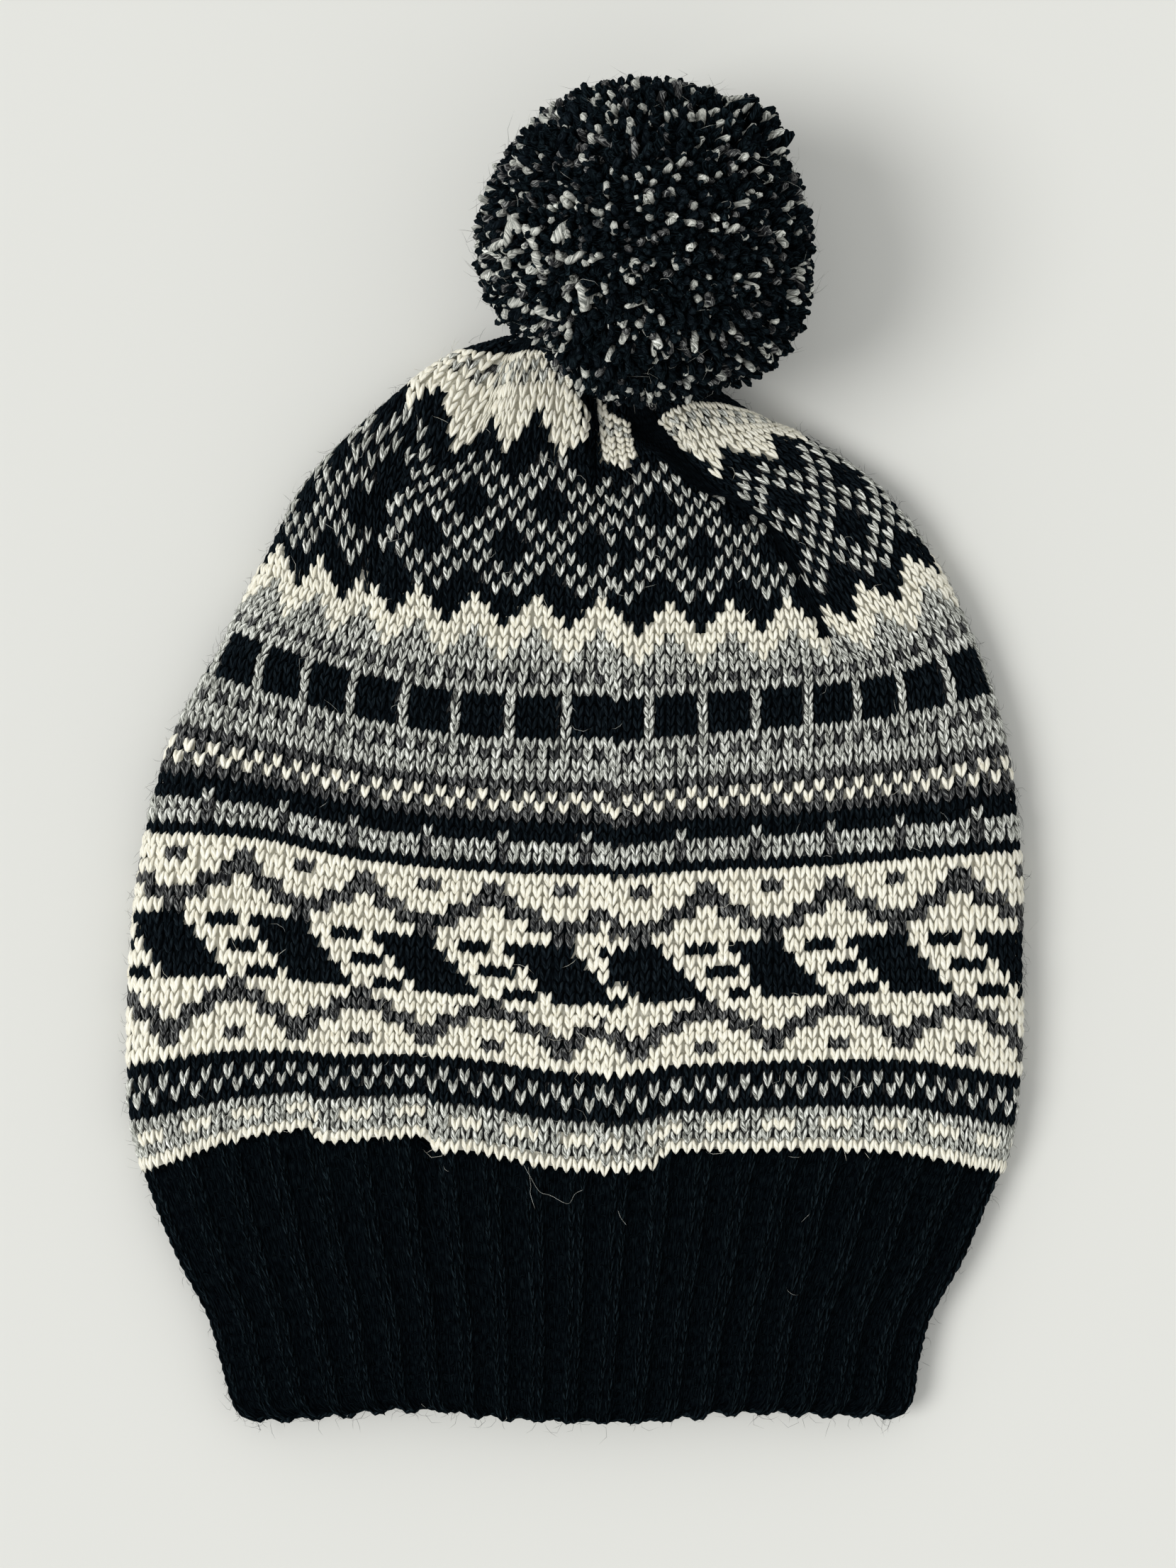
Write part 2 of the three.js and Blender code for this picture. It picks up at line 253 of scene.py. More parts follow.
def layFabric(sections, lines, around, firstRow, lastRow, counted):
    # points of the lying fabric at every part of a stitch around and every half row up;
    # the crown's stitches are counted, and the band's are spread evenly between the seam and the side folds
    rows = evenSteps(firstRow, lastRow, shell["rowStep"])
    knots = [s["row"] for s in sections]
    keys = list(sections[0])
    table = throughRows(knots, [[s[k] for k in keys] for s in sections], rows)
    courses = throughRows(knots, lines, rows)
    cols = evenSteps(0, around, shell["colStep"])
    signed = fromSeam(cols, around)
    steps = np.linspace(-1, 1, len(lines[0]))
    middleStep = len(steps) // 2
    across = -np.cos(np.linspace(0, math.pi, shell["acrossSteps"]))
    points = np.empty((len(rows), len(cols), 3))
    for r, row in enumerate(rows):
        sec = dict(zip(keys, table[r]))
        middle = (sec["left"] + sec["right"]) / 2
        half = (sec["right"] - sec["left"]) / 2
        x = middle + across * half
        dome = np.sqrt(np.clip(1 - np.abs(across) ** shell["domePower"], 0, 1))
        course = throughRows(steps, courses[r], across)
        y = course + courseDrop(x, row) * dome
        z = sec["fold"] + (sec["height"] - sec["fold"] - foldDepth(x, row)) * dome
        front = np.stack([x, y, z], 1)
        flat = max(1 - shell["sideReach"] / half, shell["lowestFlat"])
        turn = np.clip((np.abs(across) - flat) / (1 - flat), 0, 1)
        ends = courses[r][0], courses[r][-1]
        droop = courses[r][middleStep] - sum(ends) / 2
        y = np.interp(across, (-1, 1), ends) + shell["backDroop"] * droop * (1 - across ** 2)
        if not counted:
            y = course + shell["bandBackMm"] * (1 - across ** 2)
        z = sec["fold"] + (shell["underMm"] - sec["fold"]) * np.sqrt(1 - turn ** 2)
        back = np.stack([x, y, z], 1)[::-1]
        smooth = np.stack([x, sec["fold"] + (sec["height"] - sec["fold"]) * dome], 1)
        along, under = [np.concatenate([[0], np.cumsum(np.linalg.norm(np.diff(line, axis=0), axis=1))])
                        for line in (smooth, back)]
        known = stitchKnots(row, sec, counted)
        frontPlace = np.interp(signed, known[:, 0], np.interp(known[:, 1], x, along))
        share = (cols - sec["stitchRight"]) / (around - sec["stitchLeft"] - sec["stitchRight"])
        onFront = (signed >= -sec["stitchLeft"]) & (signed <= sec["stitchRight"])
        for axis in range(3):
            points[r, :, axis] = np.where(onFront, np.interp(frontPlace, along, front[:, axis]),
                                          np.interp(share * under[-1], under, back[:, axis]))
    points *= mm
    alongCols = np.gradient(points, axis=1)
    alongCols[:, 0] = alongCols[:, -1] = points[:, 1] - points[:, -2]
    normals = unit(np.cross(alongCols, np.gradient(points, axis=0)))
    return dict(points=points, normals=normals, firstRow=firstRow, around=around)


def lookUp(fabric, what, col, row):
    # read the fabric between its grid points
    grid = fabric[what]
    c = np.mod(col, fabric["around"]) / shell["colStep"]
    # rows stop just short of the last one
    r = np.clip((row - fabric["firstRow"]) / shell["rowStep"], 0, grid.shape[0] - 1.001)
    c0 = np.minimum(np.floor(c).astype(int), grid.shape[1] - 2)
    r0 = np.floor(r).astype(int)
    u, v = (c - c0)[..., None], (r - r0)[..., None]
    low = grid[r0, c0] * (1 - u) + grid[r0, c0 + 1] * u
    high = grid[r0 + 1, c0] * (1 - u) + grid[r0 + 1, c0 + 1] * u
    return low * (1 - v) + high * v


def linear(hexColour):
    channels = [int(hexColour[i:i + 2], 16) / 255 for i in (1, 3, 5)]
    return tuple(c / 12.92 if c <= 0.04045 else ((c + 0.055) / 1.055) ** 2.4 for c in channels) + (1,)


def addNode(tree, kind, links=None, **settings):
    # one node with its settings, and links given as input name to output socket
    node = tree.nodes.new(kind)
    for key, value in settings.items():
        if key in node.inputs:
            node.inputs[key].default_value = value
        else:
            setattr(node, key, value)
    for name, socket in (links or {}).items():
        tree.links.new(socket, node.inputs[name])
    return node


def emptyMaterial(name):
    material = bpy.data.materials.new(name)
    material.use_nodes = True
    material.node_tree.nodes.clear()
    return material, material.node_tree


# Alpaca yarns: fibre colours from deep to bright, sheen of the fine hair, and gloss
yarns = dict(
    W=dict(name="creamAlpaca", deep="#D2CCB7", middle="#E7E4D5", bright="#EDEBDF", sheen=0.1, gloss=0.2),
    G=dict(name="greyAlpaca", deep="#242522", middle="#A8AAA1", bright="#F6F7F0", sheen=0.1, gloss=0.2),
    C=dict(name="charcoalAlpaca", deep="#0B0D0F", middle="#2A2B2D", bright="#8E8F8C", sheen=0.05, gloss=0.1),
    K=dict(name="blackAlpaca", deep="#04070A", middle="#0C1115", bright="#1C2429", sheen=0, gloss=0),
    R=dict(name="blackRibAlpaca", deep="#020405", middle="#070B0E", bright="#1D272C", sheen=0, gloss=0),
    # cream yarn ends painted greyer than the cream yarn, as their shade among the pompom's black ends
    E=dict(name="creamCutEndsShaded", deep="#5E605C", middle="#A2A49D", bright="#D2D2C9", sheen=0, gloss=0),
    # painted shade: a darker copy of the black for the band's cloth and purl bars, which sit back in the rib
    S=dict(name="shadedBlackAlpaca", deep="#010203", middle="#04070A", bright="#0D1316", sheen=0, gloss=0),
)
yarnOrder = "WGCKRES"
# Fibre bundles and their streaks along the yarn, where on the noise the deep, middle and bright fibres lie,
# the fuzz and its bump, how fine the noise is, and how matt the wool and its sheen are
fibre = dict(bundleMm=0.36, streakMm=2.4, deepAt=0.36, middleAt=0.5, brightAt=0.66, fuzzMm=0.24, bumpMm=0.12,
             bumpShare=0.7, detail=2, ragged=0.55, roughness=0.85, sheenRoughness=0.45, roundMm=0.6,
             seeds=300)


def alpacaWool(yarn):
    # Spun alpaca: matt, with long fibre streaks along the yarn that show as a heather mix, and a soft sheen
    material, tree = emptyMaterial(yarn["name"])
    strand = addNode(tree, "ShaderNodeAttribute", attribute_name="strand")
    stretch = addNode(tree, "ShaderNodeVectorMath", {0: strand.outputs["Vector"]}, operation="MULTIPLY")
    stretch.inputs[1].default_value = (fibre["bundleMm"] / fibre["streakMm"], 1, 1)
    streaks = addNode(tree, "ShaderNodeTexNoise", {"Vector": stretch.outputs[0]},
                      Scale=1 / fibre["bundleMm"], Detail=fibre["detail"], Roughness=fibre["ragged"])
    mix = addNode(tree, "ShaderNodeValToRGB", {"Fac": streaks.outputs["Fac"]})
    ramp = mix.color_ramp
    ramp.elements[0].position, ramp.elements[0].color = fibre["deepAt"], linear(yarn["deep"])
    ramp.elements[1].position, ramp.elements[1].color = fibre["brightAt"], linear(yarn["bright"])
    ramp.elements.new(fibre["middleAt"]).color = linear(yarn["middle"])
    fuzz = addNode(tree, "ShaderNodeTexNoise", {"Vector": stretch.outputs[0]},
                   Scale=1 / fibre["fuzzMm"], Detail=fibre["detail"])
    bump = addNode(tree, "ShaderNodeBump", {"Height": fuzz.outputs["Fac"]}, Strength=fibre["bumpShare"],
                   Distance=fibre["bumpMm"] * mm)
    surface = addNode(tree, "ShaderNodeBsdfPrincipled",
                      {"Base Color": mix.outputs["Color"], "Normal": bump.outputs[0]},
                      Roughness=fibre["roughness"])
    surface.inputs["Specular IOR Level"].default_value = yarn["gloss"]
    surface.inputs["Sheen Weight"].default_value = yarn["sheen"]
    surface.inputs["Sheen Roughness"].default_value = fibre["sheenRoughness"]
    surface.inputs["Sheen Tint"].default_value = linear(yarn["bright"])
    addNode(tree, "ShaderNodeOutputMaterial", {"Surface": surface.outputs[0]})
    return material


wool = {key: alpacaWool(yarn) for key, yarn in yarns.items()}


def putTogether(name, points, faces):
    # a mesh from arrays: faces is a list of (vertex rows, yarn numbers)
    mesh = bpy.data.meshes.new(name)
    mesh.vertices.add(len(points))
    mesh.vertices.foreach_set("co", points.astype(np.float32).ravel())
    loops = np.concatenate([rows.ravel() for rows, _ in faces])
    sizes = np.concatenate([np.full(len(rows), rows.shape[1]) for rows, _ in faces])
    slots = np.concatenate([numbers for _, numbers in faces])
    mesh.loops.add(len(loops))
    mesh.loops.foreach_set("vertex_index", loops.astype(np.int32))
    mesh.polygons.add(len(sizes))
    mesh.polygons.foreach_set("loop_start", np.concatenate([[0], np.cumsum(sizes)[:-1]]).astype(np.int32))
    mesh.polygons.foreach_set("material_index", slots.astype(np.int32))
    mesh.polygons.foreach_set("use_smooth", np.full(len(sizes), True))
    mesh.update(calc_edges=True)
    piece = bpy.data.objects.new(name, mesh)
    bpy.context.collection.objects.link(piece)
    for key in yarnOrder:
        mesh.materials.append(wool[key])
    return piece


def strandAttribute(mesh, values):
    # where each point is on its yarn in mm, along, around and by strand, for the wool's streaks
    strand = mesh.attributes.new("strand", "FLOAT_VECTOR", "POINT")
    strand.data.foreach_set("vector", values.astype(np.float32).ravel())


def yarnPieces(name, centre, deep, halfWide, halfDeep, yarnNumber, sides, twist):
    # closed strands of yarn, pointed at both ends, one for each row of centre points
    count, stations = centre.shape[:2]
    rings = stations - 2
    tangent = unit(np.gradient(centre, axis=1))
    wide = unit(np.cross(deep, tangent))
    turn = 2 * math.pi * np.arange(sides) / sides - math.pi / 2
    ring = centre[:, 1:-1, None] + wide[:, 1:-1, None] * halfWide[..., None, None] * np.cos(turn)[:, None]
    ring = ring + deep[:, 1:-1, None] * halfDeep[..., None, None] * np.sin(turn)[:, None]
    points = np.concatenate([centre[:, :1], ring.reshape(count, rings * sides, 3), centre[:, -1:]], 1)
    m = np.arange(sides)
    n = (m + 1) % sides
    last = rings * sides + 1
    tips = [np.stack([0 * m, 1 + n, 1 + m], 1),
            np.stack([0 * m + last, last - sides + m, last - sides + n], 1)]
    walls = [np.stack([m, n, sides + n, sides + m], 1) + 1 + j * sides for j in range(rings - 1)]
    base = (np.arange(count) * (last + 1))[:, None, None]
    faces = []
    for shape in (np.concatenate(tips), np.concatenate(walls)):
        rows = (base + shape[None]).reshape(-1, shape.shape[1])
        faces.append((rows, np.repeat(yarnNumber, len(shape))))
    piece = putTogether(name, points.reshape(-1, 3), faces)
    length = np.linalg.norm(np.diff(centre, axis=1), axis=2).cumsum(1) / mm
    along = np.concatenate([np.zeros((count, 1)), np.repeat(length[:, :-1], sides, 1), length[:, -1:]], 1)
    around = np.concatenate([[0], np.tile(m / sides, rings), [0]])[None] * 2 * math.pi * fibre["roundMm"]
    seed = np.repeat(dice.uniform(0, fibre["seeds"], (count, 1)), last + 1, 1)
    strandAttribute(piece.data, np.stack([along, around + twist * along, seed], 2).reshape(-1, 3))
    return piece


def finishPiece(piece, slot, *nodes):
    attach(piece, "root")
    if nodes:
        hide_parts(*nodes)


# Colourwork chart, one string for each row from the band up, repeated from the seam:
# W cream, G grey heather, C charcoal heather, K black
dashRows = ["W", "G", "WWGGW", "G", "K", "KG", "GK", "K"]
waveRows = [
    "WWWWWWWWWWWW", "WWCCWWWWCCWW", "WCCCCWWWWWWW", "CCWWCCCWWWWC", "WWWWWWCCCCCC", "WWWWWWWWCCWW",
    "KWKKKKKKWWKK", "WKKKKKKWWWWW", "KKKKKKWWKKKW", "KKKKKWWWWWWK", "KKKKWWKKKWKK",
    "WWCCWWWWWWWW", "CCCCCCWWWWWW", "CWWWWCCCWWCC", "WWWWWWWCCCCW", "WWCCWWWWCCWW", "WWWWWWWWWWWW",
]
checkRows = ["K", "GGGGGGC", "GGGGGGC", "KKKKKKG", "K", "C", "WC", "CW", "C", "G", "G", "GC", "G"]
checkRows += ["KKKGK"] * 4 + ["G", "GC", "G"]
zigzagRows = ["GGWGGG", "GWWWGG", "WWWWWG", "WWKWWW", "WKKKWW", "KKKKKW"]
latticeRows = [
    "KGKKKKKG", "GKGKKKGK", "KGKGKGKG", "KKGKGKGK", "KKKGKGKK", "KKGKGKGK", "KGKGKGKG", "GKGKKKGK",
]
latticeRows += latticeRows[:5]
petalRows = ["KWKKKK", "WWWKKK", "WWWWKW", "W", "W", "GW", "WG", "W"] + ["K"] * 6
chartRows = dashRows + waveRows + checkRows + zigzagRows + latticeRows + petalRows
stitchesAround = 163
seamTakes = 0.5  # the last stitch is half taken up by the seam
aroundCols = stitchesAround - seamTakes
chart = np.array([[yarnOrder.index(row[i % len(row)]) for i in range(stitchesAround)] for row in chartRows])
slipped = dict(rows=slice(14, 19), cols=13)  # the first black wave beside the seam starts one stitch late
chart[slipped["rows"], 1:slipped["cols"]] = chart[slipped["rows"], 0:slipped["cols"] - 1].copy()
print("hat: chart of", len(chartRows), "rows")

# One stocking stitch is two legs in a V, at five stations from the tip up:
# across in stitch widths, up in rows, half width in stitch widths, lift and half depth in mm
stitch = dict(
    left=dict(across=(-0.06, -0.15, -0.27, -0.34, -0.36), up=(-0.2, 0.15, 0.6, 1.0, 1.25),
              halfWide=(0, 0.125, 0.2, 0.13, 0)),
    right=dict(across=(-0.04, 0.06, 0.2, 0.33, 0.42), up=(-0.2, 0.15, 0.62, 1.04, 1.32),
               halfWide=(0, 0.125, 0.195, 0.12, 0)),
    lift=(-0.6, -0.42, -0.3, -0.55, -1.0), halfDeep=(0, 0.42, 0.56, 0.42, 0),
    jitter=0.055, legJitter=0.033, plump=0.1, twist=0.35, widestMm=3.3, usualMm=2.4, thinnest=0.5,
)
# Paler yarn was knitted on top: it stands a little prouder, in mm, and fuller
proud = dict(W=0.3, G=0.3, C=0.1, K=-0.15, R=0, E=0, S=0)
full = dict(W=1.2, G=1.08, C=1.12, K=1, R=1, E=1, S=1)
# Stitches seen from the front are made finely, those on the floor side plainly: stations along a leg, sides
# of its section, and how narrow the V is. frontSpan is how far from the seam the fine ones go.
fineStitch = dict(stations=(0, 1, 2, 3, 4), sides=5, narrow=1)
plainStitch = dict(stations=(0, 1.5, 2.6, 4), sides=3, narrow=1)
frontSpan = (-47, 43)
seamJog = dict(rows=0.6, fade=4)  # the rows to the right of the seam start lower
# The cloth behind the crown's stitches: how far it sits back, and the stitch at the back where it is joined
crownCloth = dict(sinkMm=1.9, backCol=81)


def stitchLegs(name, fabric, cols, rows, yarnNumber, make):
    # both legs of every stitch, in the fabric's own directions
    count = len(cols)
    width = np.linalg.norm(lookUp(fabric, "points", cols + 0.5, rows + 0.5)
                           - lookUp(fabric, "points", cols - 0.5, rows + 0.5), axis=-1)
    width = np.minimum(width, stitch["widestMm"] * mm)[:, None]
    squeeze = np.clip(width / (stitch["usualMm"] * mm), stitch["thinnest"], 1)
    standing = np.array(list(proud.values()))[yarnNumber]
    plump = dice.normal(1, stitch["plump"], (count, 1)) * np.array(list(full.values()))[yarnNumber][:, None]
    shift = dice.normal(0, stitch["jitter"], (count, 2))
    centres, deeps, wides, depths = [], [], [], []
    charted = range(len(stitch["lift"]))
    for side in ("left", "right"):
        across, up, halfWide = [np.interp(make["stations"], charted, stitch[side][key])
                                for key in ("across", "up", "halfWide")]
        lift, halfDeep = [np.interp(make["stations"], charted, stitch[key]) for key in ("lift", "halfDeep")]
        wobble = dice.normal(0, stitch["legJitter"], (count, 2))
        col = cols[:, None] + across * make["narrow"] + shift[:, :1] + wobble[:, :1]
        row = rows[:, None] + up + shift[:, 1:] + wobble[:, 1:]
        deep = lookUp(fabric, "normals", col, row)
        lift = (lift + standing[:, None]) * mm
        centres.append(lookUp(fabric, "points", col, row) + deep * lift[..., None])
        deeps.append(deep)
        wides.append(width * halfWide[1:-1] * make["narrow"] * plump)
        depths.append(squeeze * halfDeep[1:-1] * mm)
    joined = [np.concatenate(x) for x in (centres, deeps, wides, depths)]
    return yarnPieces(name, *joined, np.tile(yarnNumber, 2), make["sides"], stitch["twist"])


def inPleatShade(col, row):
    # stitches deep in a pleat, painted black as its shade
    signed = fromSeam(col, aroundCols)
    hidden = np.zeros(len(col), bool)
    for pleat in pleats:
        low, high, deep, dark = [np.interp(row, pleat["rows"], pleat[key])
                                 for key in ("stitchLow", "stitchHigh", "deep", "dark")]
        low = np.minimum(low, np.interp(row + pleatSide["darkRows"], pleat["rows"], pleat["stitchLow"]))
        within = (signed > low - dark) & (signed < high + dark)
        hidden |= within & (deep > pleatSide["darkMm"]) & (dark > 0)
    return hidden


crownFabric = layFabric(crownSections, courseLines, aroundCols, firstRow=-1, lastRow=79.5, counted=True)
bands = dict(dash=dashRows, wave=waveRows, square=checkRows, lattice=zigzagRows + latticeRows,
             petal=petalRows)
high = 0
for name, rows in bands.items():
    low, high = high, high + len(rows)
    col, row = np.meshgrid(np.arange(stitchesAround), np.arange(low, high))
    col, row = col.ravel(), row.ravel()
    place = np.minimum(col + 0.5, aroundCols - seamTakes / 2)
    jog = -seamJog["rows"] * np.exp(-place / seamJog["fade"])
    signed = fromSeam(place, aroundCols)
    front = (signed > frontSpan[0]) & (signed < frontSpan[1])
    # painted shade: stitches deep in a pleat's dark are made in black yarn
    number = np.where(inPleatShade(place, row), yarnOrder.index("K"), chart[row, col])
    for part, chosen, make in (("Stitches", front, fineStitch), ("StitchesUnder", ~front, plainStitch)):
        piece = stitchLegs(name + part, crownFabric, place[chosen], (row + jog)[chosen],
                           number[chosen], make)
        finishPiece(piece, "pattern_wool")
print("hat: crown stitches laid")


def groundShell(name, fabric, cols, cloth, lowRow, highRow, tip, yarnAt):
    # the cloth behind the stitches: a grid wrapped round from the back into a tube, then thickened inwards
    rowCount = int(highRow - lowRow) + (1 if tip else 0)
    bpy.ops.object.select_all(action="DESELECT")
    bpy.ops.mesh.primitive_grid_add(x_subdivisions=cols, y_subdivisions=rowCount, size=1)
    piece = bpy.context.object
    piece.name = piece.data.name = name
    flat = np.empty(len(piece.data.vertices) * 3, np.float32)
    piece.data.vertices.foreach_get("co", flat)
    flat = flat.reshape(-1, 3).astype(float)
    col = (cloth["backCol"] + np.round((flat[:, 0] + 0.5) * cols)) * fabric["around"] / cols
    row = lowRow + np.round((flat[:, 1] + 0.5) * rowCount)
    deep = lookUp(fabric, "normals", col, np.minimum(row, highRow))
    places = lookUp(fabric, "points", col, np.minimum(row, highRow)) - deep * cloth["sinkMm"] * mm
    if tip:
        places[row > highRow] = np.array(tip) * mm
    piece.data.vertices.foreach_set("co", places.astype(np.float32).ravel())
    strandAttribute(piece.data, np.stack([row, col, 0 * row], 1) * shell["stitchMm"])
    for key in yarnOrder:
        piece.data.materials.append(wool[key])
    corners = np.array([list(face.vertices) for face in piece.data.polygons])
    number = yarnAt(np.mod(col[corners].mean(1), fabric["around"]), row[corners].mean(1))
    piece.data.polygons.foreach_set("material_index", number.astype(np.int32))
    bpy.ops.object.mode_set(mode="EDIT")
    bpy.ops.mesh.select_all(action="SELECT")
    bpy.ops.mesh.remove_doubles(threshold=shell["joinMm"] * mm)
    bpy.ops.object.mode_set(mode="OBJECT")
    bpy.ops.object.shade_smooth()
    wallThick = piece.modifiers.new("wall", "SOLIDIFY")
    wallThick.thickness = shell["groundMm"] * mm
    wallThick.offset = -1
    bpy.ops.object.modifier_apply(modifier="wall")
    return piece


def crownYarn(col, row):
    # the chart's yarn, and black yarn painted as the shade deep in a pleat
    number = chart[np.clip(np.floor(row).astype(int), 0, len(chart) - 1),
                   np.clip(col.astype(int), 0, stitchesAround - 1)]
    return np.where(inPleatShade(col, row), yarnOrder.index("K"), number)


def carriedYarnAndGapShade(col, row):
    # the yarn carried behind each of yarnOrder, as dark as the front or darker: partly the strands carried
    # behind, partly painted shade in the gaps between the legs
    carried = np.array([yarnOrder.index(key) for key in "WCKKRES"])
    return carried[crownYarn(col, row)]


crownGround = groundShell("crownGround", crownFabric, stitchesAround, crownCloth, 0, len(chartRows), crownTip,
                          carriedYarnAndGapShade)
finishPiece(crownGround, "pattern_wool", "crown")
print("hat: crown ground cloth made")

# Two-by-two rib: two knit columns stand out, two purl columns sit back, and the hem is scalloped by it
rib = dict(repeats=41, wide=4, rows=22, steep=2.2, reliefMm=0.95, hemMm=0.1, hemUneven=(-1, 5), hemRows=3,
           narrow=0.66)
bandCloth = dict(sinkMm=0.45, backCol=82.5)
ribCols = rib["repeats"] * rib["wide"]
ribNumber = yarnOrder.index("R")
shadeNumber = yarnOrder.index("S")


def ribWave(col):
    # from minus one in the purl columns to one in the knit columns
    return np.tanh(-rib["steep"] * np.cos(np.mod(col, rib["wide"]) / rib["wide"] * 2 * math.pi))


bandFabric = layFabric(bandSections, bandLines, ribCols, firstRow=-rib["rows"] - 0.5, lastRow=0.5,
                       counted=False)
wave = ribWave(evenSteps(0, ribCols, shell["colStep"]))
rise = np.arange(len(bandFabric["points"])) * shell["rowStep"] - 0.5
bandFabric["points"] += bandFabric["normals"] * (rib["reliefMm"] * (wave - 1) * mm)[None, :, None]
repeat = (np.arange(len(wave)) * shell["colStep"] / rib["wide"]).astype(int)
scallop = rib["hemMm"] * mm * wave * dice.uniform(*rib["hemUneven"], rib["repeats"] + 1)[repeat]
bandFabric["points"][..., 1] -= scallop * np.clip(1 - rise / rib["hemRows"], 0, 1)[:, None]
col, row = np.meshgrid(np.arange(ribCols), np.arange(-rib["rows"], 0))
col, row = col.ravel() + 0.5, row.ravel().astype(float)
knit = ribWave(col) > 0
signed = fromSeam(col, ribCols)
front = (signed > frontSpan[0]) & (signed < frontSpan[1])
for part, chosen, make in (("", knit & front, fineStitch), ("Under", knit & ~front, plainStitch)):
    piece = stitchLegs("ribKnitStitches" + part, bandFabric, col[chosen], row[chosen],
                       np.full(chosen.sum(), ribNumber), dict(make, narrow=rib["narrow"]))
    finishPiece(piece, "black_wool")

# Each purl stitch shows as a short bar lying across
purl = dict(across=(-0.55, -0.35, 0, 0.35, 0.55), bow=(0.2, 0.5, 0.7, 0.5, 0.2),
            lift=(-1.2, -0.65, -0.45, -0.65, -1.2), half=(0.36, 0.46, 0.36), sides=4,
            sideJitter=0.04, upJitter=0.05)
count = (~knit).sum()
across = col[~knit][:, None] + np.array(purl["across"]) + dice.normal(0, purl["sideJitter"], (count, 1))
up = row[~knit][:, None] + np.array(purl["bow"]) + dice.normal(0, purl["upJitter"], (count, 1))
deep = lookUp(bandFabric, "normals", across, up)
centre = lookUp(bandFabric, "points", across, up) + deep * (np.array(purl["lift"]) * mm)[:, None]
half = np.tile(np.array(purl["half"]) * mm, (count, 1))
# painted shade: the purl bars are made in the shaded black
ribPurl = yarnPieces("ribPurlStitches", centre, deep, half, half, np.full(count, shadeNumber),
                     purl["sides"], stitch["twist"])
finishPiece(ribPurl, "black_wool")

# The hem's cast-on edge, a bead of yarn under each column
castOn = dict(across=(-0.75, -0.45, 0, 0.45, 0.75), up=(0.12, 0.02, 0, 0.02, 0.12), half=(0.6, 0.85, 0.6),
              uneven=(0.8, 1.15), sinkMm=1.0, sides=6, sag=0.05)
beads = np.arange(ribCols) + 0.5
across = beads[:, None] + np.array(castOn["across"])
up = np.array(castOn["up"]) - rib["rows"] + castOn["sag"] * (ribWave(across) - 1)
deep = lookUp(bandFabric, "normals", across, up)
half = np.array(castOn["half"]) * dice.uniform(*castOn["uneven"], (ribCols, 1)) * mm
centre = lookUp(bandFabric, "points", across, up) - deep * castOn["sinkMm"] * mm
hemEdge = yarnPieces("hemCastOn", centre, deep, half, half, np.full(ribCols, ribNumber),
                     castOn["sides"], stitch["twist"])
finishPiece(hemEdge, "black_wool")
# painted shade: the band's cloth behind the rib is all shaded black
bandGround = groundShell("bandGround", bandFabric, ribCols, bandCloth, -rib["rows"], 0, None,
                         lambda col, row: np.full(len(col), shadeNumber))
finishPiece(bandGround, "black_wool", "band")
print("hat: ribbed band laid")

# Pompom: a core ball with cut yarn ends standing out of it, pressed in where the crown's top meets it
pompom = dict(middle=(17.3, 132.6, 42.5), radius=(44.5, 41.6, 43.5), lump=0.02, floorMm=0.4,
              coreSinkMm=4, coreDetail=5, coreGrainMm=40)
# Where the ball is pressed in, or bulges where minus: depth, direction around and width
dents = [dict(mm=5, turn=math.radians(226), wide=0.3), dict(mm=-3.5, turn=math.radians(318), wide=0.4),
         dict(mm=-2, turn=math.radians(266), wide=0.4)]
# Yarn ends: stations from root to tip, sizes and how uneven they are, and how they lean, stand out and bend
yarnEnd = dict(count=6000, sides=5, stations=(0, 0.3, 0.7, 0.93, 1), lengthMm=8, lengthUneven=(0.8, 1.1),
               halfMm=1.08, halfUneven=(0.8, 1.25), taper=(0.85, 1.0, 0.8), flat=0.85, twist=0.5,
               jitter=0.02, lean=0.28, outMm=-0.7, outUnevenMm=0.8, bendMm=0.5, floorMm=1.0)
endShares = dict(E=0.12, G=0.035, C=0.1, K=0.2, R=0.545)
# Fewer pale ends low on the right, painted shade on the ball's shaded side; some long ends lying over on the
# left, and a tuft that stands out
shaded = dict(way=(0.5, -0.85, 0.15), near=0.5, share=0.2)
lying = dict(way=(-0.6, -0.32, 0.73), near=0.9, share=0.045, lean=2.6, outMm=0.4, thick=1.2)
tuft = dict(way=(0.68, 0.7, 0.2), near=0.985, outMm=4)


def pompomPoint(ways, grow):
    # a place on the ball in each direction, with slow swells and dents
    x, y, z = ways[..., 0], ways[..., 1], ways[..., 2]
    swell = np.sin(3.1 * x + 1.2) * np.sin(2.7 * y + 0.4) + np.sin(3.7 * z + 2 * x) * 0.6
    size = 1 + pompom["lump"] * (swell - 1)
    dent = 0
    for press in dents:
        turned = np.mod(np.arctan2(y, x) - press["turn"] + math.pi, 2 * math.pi) - math.pi
        dent = dent + press["mm"] * np.exp(-(turned / press["wide"]) ** 2) * (1 - z ** 2)
    reach = np.array(pompom["radius"]) + (grow - dent)[..., None]
    places = np.array(pompom["middle"]) + ways * reach * size[..., None]
    places[..., 2] = np.maximum(places[..., 2], pompom["floorMm"])
    return places * mm


def facing(ways, area):
    # directions close to the middle of an area
    return ways @ unit(np.array(area["way"])) > area["near"]


